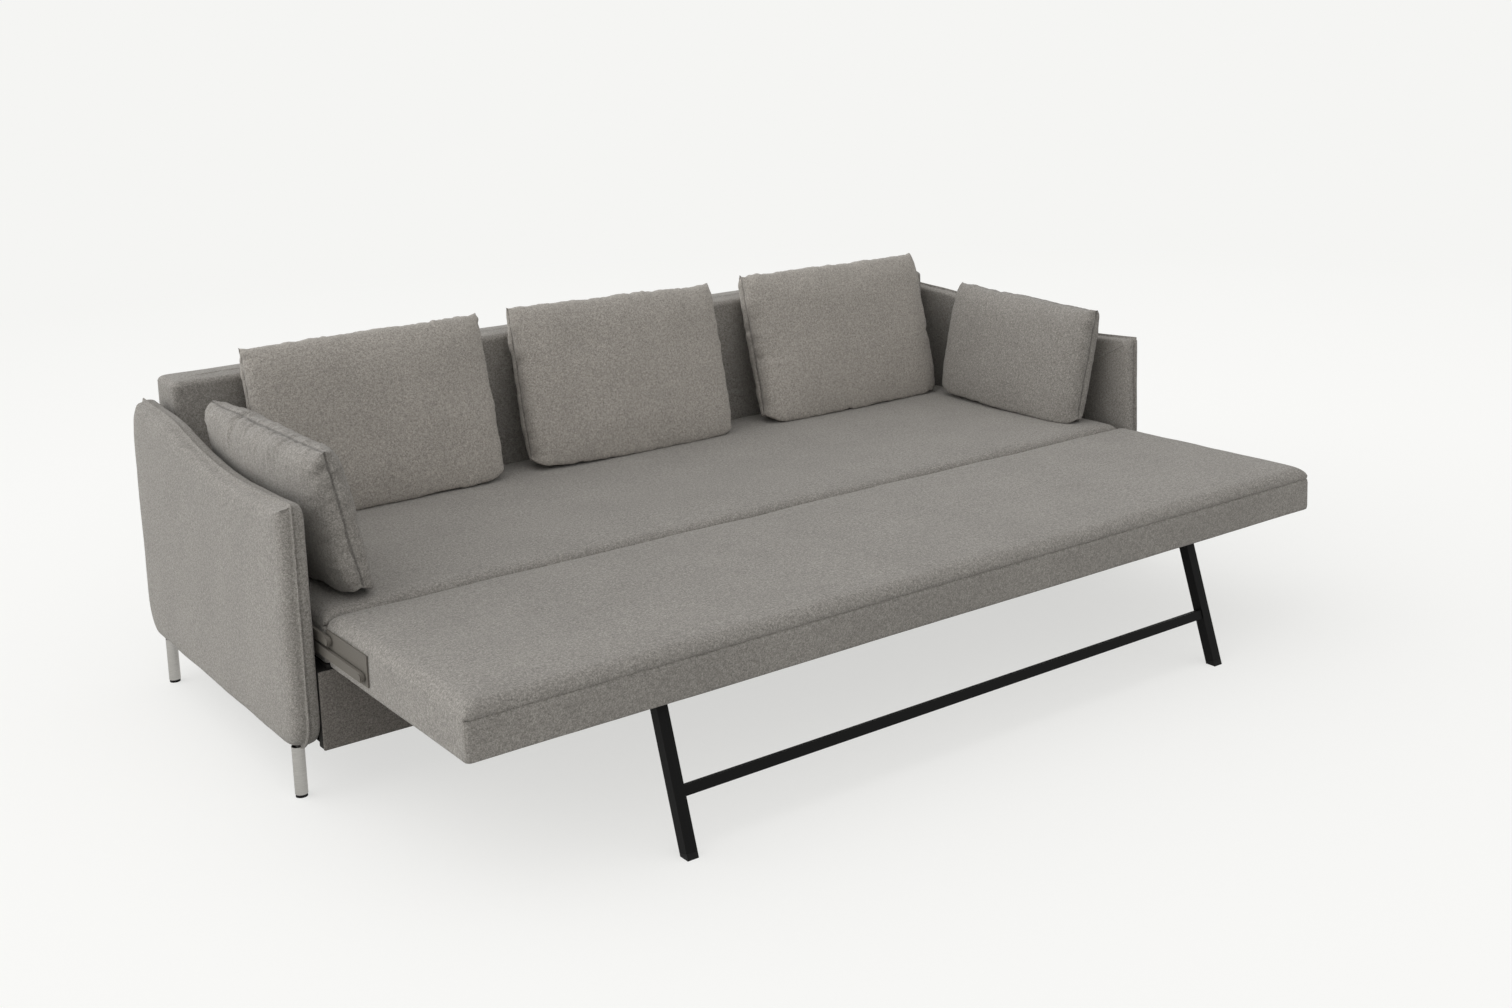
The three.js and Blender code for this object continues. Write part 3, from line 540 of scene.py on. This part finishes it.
def makeBack():
    low, high = (Vector(corner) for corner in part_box("back_cover"))
    bottom = low.z / mm
    top = high.z / mm
    radius = backRest["radius"]
    steps = backRest["wallSteps"]
    wall = top - radius - bottom - backRest["wallFrom"] - backRest["wallTo"]
    profile = [(inset, bottom + rise) for inset, rise in backRest["underside"]]
    profile += [(backRest["wallInset"], bottom + backRest["wallFrom"] + wall * i / steps)
                for i in range(steps + 1)]
    for i in range(1, backRest["rollSteps"] + 1):
        angle = math.radians(backRest["rollTurn"] * i / backRest["rollSteps"])
        profile.append((radius * (1 - math.cos(angle)), top - radius + radius * math.sin(angle)))
    profile += [(inset, top + rise) for inset, rise in backRest["top"]]

    def cornerAt(inset):
        return max(backRest["cornerRadius"] - backRest["cornerTaper"] * inset, backRest["leastCorner"])

    mesh = skinRings(padRings(low, high, profile, cornerAt, backRest["steps"]))
    for amount, size, seed in backRest["ripples"]:
        ripple(mesh, amount * mm, size * mm, seed)
    return finishMesh("back_upholstery", mesh, fabric, "base", ["back_cover"])


makeBack()


# Front panel under the rear seat: thin cloth stretched over a board, with a small round at its edges. Its
# cloth is the cover fabric darkened as painted shade.

panel = {
    "cornerRadius": 3, "steps": (90, 6, 2),
    # inset, distance back from the front face
    "skin": [(6, 6.0), (1.0, 5.6), (0.2, 4.0), (0.2, 2.2), (1.2, 0.8), (4, 0.2), (14, 0.0), (40, 0.0)],
}


def makePanel():
    low, high = (Vector(corner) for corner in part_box("front_panel"))
    width = high.x - low.x
    height = high.z - low.z
    middle = Vector(((low.x + high.x) / 2, 0, (low.z + high.z) / 2))
    rings = []
    for inset, level in panel["skin"]:
        sides = (width - 2 * inset * mm, height - 2 * inset * mm)
        ring = rectangleRing(*sides, panel["cornerRadius"] * mm, *panel["steps"])
        rings.append([Vector((p.x, low.y + level * mm, p.y)) + middle for p in ring])
    return finishMesh("front_panel_cover", skinRings(rings), paintedShadePanelFabric, "base", ["front_panel"])


makePanel()
print("back and panel made")


# Loose cushions: two flat panels sewn round the edge, blown up as cloth, squared, then set down.
# Across and upward run from -1 to 1 over a panel; side is -1, 0 on the seam, or 1.

pillowLayers = ("across", "upward", "side", "seam")
pillow = {
    "cell": 15 * mm, "lift": 8 * mm, "weld": 0.2 * mm,
    "frames": 20, "startRipple": 1.2 * mm, "startSize": 60 * mm,
    "cloth": {
        "quality": 5, "mass": 0.2, "tension_stiffness": 18, "compression_stiffness": 18,
        "shear_stiffness": 6, "bending_stiffness": 1.2, "use_pressure": True,
        "uniform_pressure_force": 2.0,
    },
    "clothShare": 0.25, "clothPower": 0.7,  # how much of the swell comes from the simulation
    "inset": 8 * mm, "ears": 4 * mm, "earPower": 11, "seamInset": 7 * mm,
    "hollow": 0.4, "hollowPower": 14, "drawnPower": 6,
    "ringPlace": (0, 0.5, 6, 19, 36), "ringFull": (0, 0.08, 0.60, 0.80, 0.91, 0.97, 1.0),
    "edgeWaves": ((2.0 * mm, 4, 3.1), (2.4 * mm, 5, 9.4)),  # size, waves along the edge, place in the noise
    "crown": (0.14, 0.12), "thinCorner": 0.3, "thinPower": 10, "sway": 3 * mm, "swayWaves": 2,
    "sag": 64 * mm, "sagFull": 1.4, "sagHeight": 140 * mm, "sagEnds": 28,
    "ripples": ((2.6 * mm, 150 * mm, 0), (1.1 * mm, 55 * mm, 3)), "settleHeight": 110 * mm,
}


# Two grids laid on each other and welded round the edge; the point layers remember where each point belongs
def flatPillow(name, width, height):
    mesh = bmesh.new()
    countX = round(width / pillow["cell"])
    countZ = round(height / pillow["cell"])
    bmesh.ops.create_grid(mesh, x_segments=countX, y_segments=countZ, size=1.0)
    layers = {key: mesh.verts.layers.float.new(key) for key in pillowLayers}
    bmesh.ops.duplicate(mesh, geom=mesh.verts[:] + mesh.edges[:] + mesh.faces[:])
    half = len(mesh.verts) // 2
    for number, vert in enumerate(mesh.verts):
        u, v = vert.co.x, vert.co.y
        onSeam = max(abs(u), abs(v)) > 0.9999
        side = 0 if onSeam else (-1 if number < half else 1)
        for key, value in zip(pillowLayers, (u, v, side, float(onSeam))):
            vert[layers[key]] = value
        lift = pillow["lift"] * min(1, 3 * (1 - u * u) * (1 - v * v))
        vert.co = (u * width / 2, side * lift, v * height / 2)
    bmesh.ops.remove_doubles(mesh, verts=mesh.verts[:], dist=pillow["weld"])
    faceOutward(mesh)
    pieceMesh = bpy.data.meshes.new(name)
    mesh.to_mesh(pieceMesh)
    mesh.free()
    piece = bpy.data.objects.new(name, pieceMesh)
    scene.collection.objects.link(piece)
    return piece


def applyModifiers(piece):
    bpy.context.view_layer.update()
    depsgraph = bpy.context.evaluated_depsgraph_get()
    mesh = bpy.data.meshes.new_from_object(piece.evaluated_get(depsgraph))
    piece.modifiers.clear()
    piece.data = mesh


def blowUp(piece, seed):
    for vert in piece.data.vertices:
        value = noise.noise(vert.co / pillow["startSize"] + Vector((seed, 0, 0)))
        vert.co.y += pillow["startRipple"] * value
    cloth = piece.modifiers.new("Cloth", "CLOTH")
    for key, value in pillow["cloth"].items():
        setattr(cloth.settings, key, value)
    cloth.settings.effector_weights.gravity = 0
    cloth.collision_settings.use_collision = False
    for frameNumber in range(1, pillow["frames"] + 1):
        scene.frame_set(frameNumber)
    applyModifiers(piece)
    scene.frame_set(1)


# Place and fullness of a grid row. Rows crowd towards the seams, so that the walls stand nearly upright
# beside a narrow groove.
def rowAt(share, count, half):
    places, fulls = pillow["ringPlace"], pillow["ringFull"]
    ring = (1 - abs(share)) * count / 2
    n = min(int(ring), len(fulls) - 2)
    full = fulls[n] + (fulls[n + 1] - fulls[n]) * min(1, ring - n)
    last = len(places) - 1
    if ring >= last:
        gap = places[-1] * mm + (half - places[-1] * mm) * (ring - last) / (count / 2 - last)
    else:
        n = int(ring)
        gap = (places[n] + (places[n + 1] - places[n]) * (ring - n)) * mm
    return math.copysign(half - gap, share), full


# Pull the blown pillow back to straight sides with small ears, and fill it out towards its seams
def squareUp(piece, width, height, thickness, seed):
    mesh = bmesh.new()
    mesh.from_mesh(piece.data)
    layers = {key: mesh.verts.layers.float[key] for key in pillowLayers}
    inset, ears, seamInset, clothShare = (pillow[key] for key in ("inset", "ears", "seamInset", "clothShare"))
    (waveX, wavesX, noiseX), (waveZ, wavesZ, noiseZ) = pillow["edgeWaves"]
    crownX, crownZ = pillow["crown"]
    deepest = max(abs(vert.co.y) for vert in mesh.verts)
    countX = round(width / pillow["cell"])
    countZ = round(height / pillow["cell"])
    for vert in mesh.verts:
        u, v, side = (vert[layers[key]] for key in ("across", "upward", "side"))
        atCorner = abs(u) * abs(v)
        bendX = waveX * noise.noise(Vector((v * wavesX, seed, noiseX)))
        bendZ = waveZ * noise.noise(Vector((u * wavesZ, seed, noiseZ)))
        if side == 0:
            flap = atCorner ** pillow["earPower"]
            drawn = ears * flap - seamInset * (1 - flap)
        else:
            drawn = -ears * pillow["hollow"] * atCorner ** pillow["hollowPower"]
        reachX = width / 2 - inset + bendX + drawn * abs(u) ** pillow["drawnPower"]
        reachZ = height / 2 - inset + bendZ + drawn * abs(v) ** pillow["drawnPower"]
        x, fullX = rowAt(u, countX, reachX)
        z, fullZ = rowAt(v, countZ, reachZ)
        full = fullX * fullZ * (1 - crownX * u * u - crownZ * v * v)
        full *= 1 - pillow["thinCorner"] * atCorner ** pillow["thinPower"]
        blown = (max(0.0, side * vert.co.y) / deepest) ** pillow["clothPower"]
        swell = side * thickness / 2 * (clothShare * blown + (1 - clothShare) * full)
        sway = pillow["sway"] * noise.noise(Vector((u * pillow["swayWaves"], v * pillow["swayWaves"], seed)))
        sunk = pillow["sag"] * min(1, pillow["sagFull"] * full)
        sunk *= math.exp(-(1 + v) * height / pillow["sagHeight"]) * (1 - u ** pillow["sagEnds"])
        vert.co = (x, swell + sway, z - (sunk if side else 0))
    mesh.to_mesh(piece.data)
    mesh.free()


gathers = {
    "depth": 13 * mm, "size": 27 * mm, "reach": 32 * mm, "length": 60 * mm, "seamCalm": 0.8,
    "fineShare": 0.45, "finer": 2.3, "fineLength": 25 * mm,
    "patch": 80 * mm, "least": 0.4, "most": 1.3, "otherFace": 5.0,
}


# Short gathers where the filling pulls at the seam
def gather(mesh, layers, width, height, seed, creases):
    depth = gathers["depth"] * creases
    reach = gathers["reach"] * creases
    size = gathers["size"]
    mesh.normal_update()
    moves = []
    for vert in mesh.verts:
        u, v, side, seam = (vert[layers[key]] for key in pillowLayers)
        fromSide = width / 2 * (1 - abs(u))
        fromTop = height / 2 * (1 - abs(v))
        along = vert.co.z if fromSide < fromTop else vert.co.x
        inside = max(0.0, min(fromSide, fromTop))
        fade = math.exp(-inside / reach) * (1 - gathers["seamCalm"] * max(0.0, seam))
        face = gathers["otherFace"] if side > 0 else 0.0
        patch = noise.noise(Vector((along / gathers["patch"], seed, face)))
        strength = gathers["least"] + gathers["most"] * max(0, patch)
        fold = noise.noise(Vector((along / size, seed + face, inside / gathers["length"])))
        fineFold = Vector((along / size * gathers["finer"], seed + face, inside / gathers["fineLength"]))
        fold += gathers["fineShare"] * noise.noise(fineFold)
        moves.append(vert.normal * depth * fold * fade * strength)
    for vert, move in zip(mesh.verts, moves):
        vert.co += move


# At each corner both panels share three points, so their quads are cut from the corner inwards
def splitCorners(mesh, layers):
    corners = [vert for vert in mesh.verts if abs(vert[layers["across"]] * vert[layers["upward"]]) > 0.9999]
    for corner in corners:
        for face in corner.link_faces[:]:
            opposite = (list(face.verts).index(corner) + 2) % 4
            bmesh.utils.face_split(face, corner, face.verts[opposite])


# Place stands the cushion up on its foot; rest presses it flat against what it leans on
def makeCushion(node, size, settings, place, rest):
    name = node + "_cover"
    width, height, thickness = size
    seed = settings["seed"]
    piece = flatPillow(name, width, height)
    blowUp(piece, seed)
    squareUp(piece, width, height, thickness, seed)
    smooth = piece.modifiers.new("Smooth", "SUBSURF")
    smooth.levels = 2
    smooth.render_levels = 2
    applyModifiers(piece)
    mesh = bmesh.new()
    mesh.from_mesh(piece.data)
    bpy.data.objects.remove(piece)
    layers = {key: mesh.verts.layers.float[key] for key in pillowLayers}
    gather(mesh, layers, width, height, seed, settings["creases"])
    splitCorners(mesh, layers)
    # the seam layer drives the painted shade along the seam groove
    for key in ("across", "upward", "side"):  # the seam layer stays, for the material
        mesh.verts.layers.float.remove(mesh.verts.layers.float[key])
    for amount, waveSize, shift in pillow["ripples"]:
        ripple(mesh, amount, waveSize, seed + shift)
    for vert in mesh.verts:
        vert.co.z += height / 2
        settled = max(0.0, 1 - vert.co.z / pillow["settleHeight"])
        vert.co.z += settled * settings["slope"] * vert.co.y
        vert.co = rest(place @ vert.co)
    cushion = finishMesh(name, mesh, settings["cover"], node, [node])


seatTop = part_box("rear_mattress")[1][2]
cushionFloor = seatTop + 4.6 * mm  # a cushion rests on the seat's crown
floorGive = 0.02  # how much of a cushion's lowest part is left below that level

backCushion = {
    "height": 416 * mm, "thickness": 132 * mm, "sideGap": 2 * mm, "lean": 14,
    "footY": 692 * mm, "footZ": 18 * mm, "spread": 0.25,
    "restGap": 1 * mm, "edgeDrop": 28 * mm, "edgeSlope": 1.6,
    "each": {
        "left": {"seed": 41.0, "turn": -0.4, "shift": -6},
        "middle": {"seed": 47.0, "turn": 1.0, "shift": -2},
        "right": {"seed": 53.0, "turn": 0.3, "shift": 0},
    },
    # the back cushions take the cover fabric lightened as painted light
    "common": {"fill": 0.7, "creases": 1.0, "cover": paintedLightCushionFabric},
}
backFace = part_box("back_cover")[0][1]
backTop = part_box("back_cover")[1][2]


def againstBack(co):
    overEdge = max(0, co.z - (backTop - backCushion["edgeDrop"]))
    y = min(co.y, backFace - backCushion["restGap"] + overEdge * backCushion["edgeSlope"])
    z = co.z
    if z < cushionFloor:
        y += backCushion["spread"] * (z - cushionFloor)
        z = cushionFloor + floorGive * (z - cushionFloor)
    return Vector((co.x, y, z))


for key, own in backCushion["each"].items():
    node = "back_cushion_" + key
    low, high = (Vector(corner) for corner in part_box(node))
    width = high.x - low.x - 2 * backCushion["sideGap"] - 2 * abs(own["shift"]) * mm
    slope = math.tan(math.radians(backCushion["lean"]))
    lean = Matrix.Rotation(math.radians(-backCushion["lean"]), 4, "X")
    turn = Matrix.Rotation(math.radians(own["turn"]), 4, "Y")
    foot = Vector(((low.x + high.x) / 2 + own["shift"] * mm, frontPlane + backCushion["footY"],
                   seatTop + backCushion["footZ"]))
    makeCushion(node, (width, backCushion["height"], backCushion["thickness"]),
                {**backCushion["common"], **own, "slope": slope},
                Matrix.Translation(foot) @ (lean @ turn), againstBack)
    print("back cushion", key, "made")

sideCushion = {
    "height": 320 * mm, "thickness": 112 * mm, "sideGap": 2 * mm, "lean": 12,
    "footX": 1066 * mm, "footZ": 20 * mm,
    "restGap": 2 * mm, "armTop": 612 * mm, "edgeSlope": 1.2,
    "each": {
        "left": {"seed": 61.0, "sign": -1, "turn": 1.2, "tilt": 0.6, "creases": 1.35},
        "right": {"seed": 67.0, "sign": 1, "turn": 0.0, "tilt": 2.4, "creases": 0.8},
    },
    "common": {"fill": 0.65, "cover": sideFabric},
}


def againstArm(co):
    overEdge = max(0, co.z - sideCushion["armTop"])
    limit = arm["inner"] * mm - sideCushion["restGap"] + overEdge * sideCushion["edgeSlope"]
    x = math.copysign(min(abs(co.x), limit), co.x)
    return Vector((x, co.y, max(co.z, cushionFloor + floorGive * (co.z - cushionFloor))))


for key, own in sideCushion["each"].items():
    node = "side_cushion_" + key
    low, high = (Vector(corner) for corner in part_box(node))
    sign = own["sign"]
    width = high.y - low.y - 2 * sideCushion["sideGap"]
    slope = -sign * math.tan(math.radians(sideCushion["lean"]))
    lean = Matrix.Rotation(math.radians(sign * sideCushion["lean"]), 4, "Y")
    turn = Matrix.Rotation(math.radians(own["turn"]), 4, "Z")
    tilt = Matrix.Rotation(math.radians(own["tilt"]), 4, "X")
    alongArm = Matrix.Rotation(math.radians(90), 4, "Z")
    foot = Vector((sign * sideCushion["footX"], (low.y + high.y) / 2, seatTop + sideCushion["footZ"]))
    makeCushion(node, (width, sideCushion["height"], sideCushion["thickness"]),
                {**sideCushion["common"], **own, "slope": slope},
                Matrix.Translation(foot) @ (lean @ turn @ tilt) @ alongArm, againstArm)
    print("side cushion", key, "made")


# Floor, light and camera

# Matt white studio sweep. To the camera it is mostly its own pale colour, with the soft shadow laid over
# it, and it turns plain with distance, so that no horizon shows.
floorLook = {
    "colour": "#f5f5f3", "bounce": "#cacac8", "shaded": (0.36, 0.36, 0.357, 1), "own": 0.68,
    "fadeFrom": 3.0, "fadeTo": 7.0, "halfSize": 60,
}


def makeFloor():
    mesh = bmesh.new()
    bmesh.ops.create_grid(mesh, x_segments=1, y_segments=1, size=floorLook["halfSize"])
    floorMesh = bpy.data.meshes.new("studio_floor")
    mesh.to_mesh(floorMesh)
    mesh.free()
    floor = bpy.data.objects.new("studio_floor", floorMesh)
    scene.collection.objects.link(floor)
    material = bpy.data.materials.new("matt studio floor")
    material.use_nodes = True
    tree = material.node_tree
    tree.nodes.clear()
    pale = colour(floorLook["colour"])
    shaded = addNode(tree, "ShaderNodeBsdfDiffuse", {"Color": floorLook["shaded"]})
    own = addNode(tree, "ShaderNodeEmission", {"Color": pale, "Strength": floorLook["own"]})
    seen = addNode(tree, "ShaderNodeAddShader", {0: shaded.outputs[0], 1: own.outputs[0]})
    place = addNode(tree, "ShaderNodeTexCoord").outputs["Object"]
    away = addNode(tree, "ShaderNodeVectorMath", {0: place}, operation="LENGTH")
    fade = addNode(tree, "ShaderNodeMapRange", {
        "Value": away.outputs["Value"], "From Min": floorLook["fadeFrom"], "From Max": floorLook["fadeTo"],
    })
    plain = addNode(tree, "ShaderNodeEmission", {"Color": pale, "Strength": 1.0})
    faded = addNode(tree, "ShaderNodeMixShader", {
        0: fade.outputs[0], 1: seen.outputs[0], 2: plain.outputs[0],
    })
    bounce = addNode(tree, "ShaderNodeBsdfDiffuse", {"Color": colour(floorLook["bounce"])})
    mix = addNode(tree, "ShaderNodeMixShader", {
        0: directRays(tree), 1: bounce.outputs[0], 2: faded.outputs[0],
    })
    addNode(tree, "ShaderNodeOutputMaterial", {"Surface": mix.outputs[0]})
    floor.data.materials.append(material)


# Camera, glossy and transmission rays see the pale floor and background themselves; all other rays see
# what lights the sofa
def directRays(tree):
    ray = addNode(tree, "ShaderNodeLightPath").outputs
    glossy = addNode(tree, "ShaderNodeMath", {0: ray["Is Camera Ray"], 1: ray["Is Glossy Ray"]},
                     operation="MAXIMUM").outputs[0]
    return addNode(tree, "ShaderNodeMath", {0: glossy, 1: ray["Is Transmission Ray"]},
                   operation="MAXIMUM").outputs[0]


# Softbox dome: a low bright side behind to the left, some light from overhead and from the front.
# Each line adds one sum: name, operation, and two names or numbers.
dome = {
    "light": (1.0, 0.998, 0.99, 1), "seen": "#f5f5f3",
    "sums": [
        ("height", "MAXIMUM", "Z", 0.0),
        ("low", "SUBTRACT", 1.0, "height"),
        ("overheadShape", "POWER", "height", 1.4),
        ("overhead", "MULTIPLY", "overheadShape", 0.60),
        ("leftward", "MULTIPLY", "X", -0.76),
        ("rearward", "MULTIPLY", "Y", 0.65),
        ("towardsLeft", "ADD", "leftward", "rearward"),
        ("leftSide", "MAXIMUM", "towardsLeft", 0.0),
        ("leftShape", "POWER", "leftSide", 1.5),
        ("leftLow", "MULTIPLY", "leftShape", "low"),
        ("left", "MULTIPLY", "leftLow", 3.2),
        ("rightSide", "MAXIMUM", "X", 0.0),
        ("right", "MULTIPLY", "rightSide", 0.05),
        ("frontward", "MULTIPLY", "Y", -1.0),
        ("frontSide", "MAXIMUM", "frontward", 0.0),
        ("frontShape", "POWER", "frontSide", 2.0),
        ("rising", "POWER", "height", 0.5),
        ("frontRising", "MULTIPLY", "frontShape", "rising"),
        ("front", "MULTIPLY", "frontRising", 1.35),
        ("leftAndRight", "ADD", "left", "right"),
        ("sides", "ADD", "leftAndRight", "front"),
        ("allRound", "ADD", "overhead", "sides"),
        ("glow", "ADD", "allRound", 0.12),
    ],
}


def makeWorld():
    world = bpy.data.worlds.new("studio")
    scene.world = world
    world.use_nodes = True
    tree = world.node_tree
    tree.nodes.clear()
    direction = addNode(tree, "ShaderNodeTexCoord").outputs["Object"]
    parts = addNode(tree, "ShaderNodeSeparateXYZ", {"Vector": direction})
    values = {axis: parts.outputs[axis] for axis in "XYZ"}
    for name, operation, first, second in dome["sums"]:
        inputs = {0: values.get(first, first), 1: values.get(second, second)}
        values[name] = addNode(tree, "ShaderNodeMath", inputs, operation=operation).outputs[0]
    light = addNode(tree, "ShaderNodeBackground", {"Color": dome["light"], "Strength": values["glow"]})
    seen = addNode(tree, "ShaderNodeBackground", {"Color": colour(dome["seen"]), "Strength": 1.0})
    mix = addNode(tree, "ShaderNodeMixShader", {
        0: directRays(tree), 1: light.outputs[0], 2: seen.outputs[0],
    })
    addNode(tree, "ShaderNodeOutputWorld", {"Surface": mix.outputs[0]})


keyLight = {"from": (-0.55, 0.1, 0.83), "softness": 55, "power": 0.3}


def makeKeyLight():
    data = bpy.data.lights.new("key_left", "SUN")
    data.energy = keyLight["power"]
    data.angle = math.radians(keyLight["softness"])
    light = bpy.data.objects.new("key_left", data)
    light.rotation_euler = Vector(keyLight["from"]).to_track_quat("Z", "Y").to_euler()
    scene.collection.objects.link(light)


# Fitted to corners in the photograph. Place is in millimetres: right of the sofa's middle, behind the
# arms' front and up from the floor.
view = {
    "place": (-2375, -3224, 1550), "yaw": 35.55, "pitch": 9.63, "roll": -1.99,
    "focalPixels": 1739, "photoWidth": 1512, "sensor": 36, "shift": -0.13,
}


def makeCamera():
    yaw, pitch, roll = (math.radians(view[key]) for key in ("yaw", "pitch", "roll"))
    level = math.cos(pitch)
    forward = Vector((math.sin(yaw) * level, math.cos(yaw) * level, -math.sin(pitch)))
    right = Vector((math.cos(yaw), -math.sin(yaw), 0))
    up = right.cross(forward)
    tiltedRight = right * math.cos(roll) + up * math.sin(roll)
    tiltedUp = up * math.cos(roll) - right * math.sin(roll)
    data = bpy.data.cameras.new("camera")
    data.sensor_width = view["sensor"]
    data.lens = view["focalPixels"] / view["photoWidth"] * view["sensor"]
    data.shift_y = view["shift"]
    data.clip_end = 200
    camera = bpy.data.objects.new("camera", data)
    x, y, z = (value * mm for value in view["place"])
    axes = Matrix((tiltedRight, tiltedUp, -forward)).transposed().to_4x4()
    camera.matrix_world = Matrix.Translation(Vector((x, y + frontPlane, z))) @ axes
    scene.collection.objects.link(camera)
    scene.camera = camera


makeFloor()
makeWorld()
makeKeyLight()
makeCamera()
scene.view_settings.view_transform = "Standard"
print("floor, light and camera made")
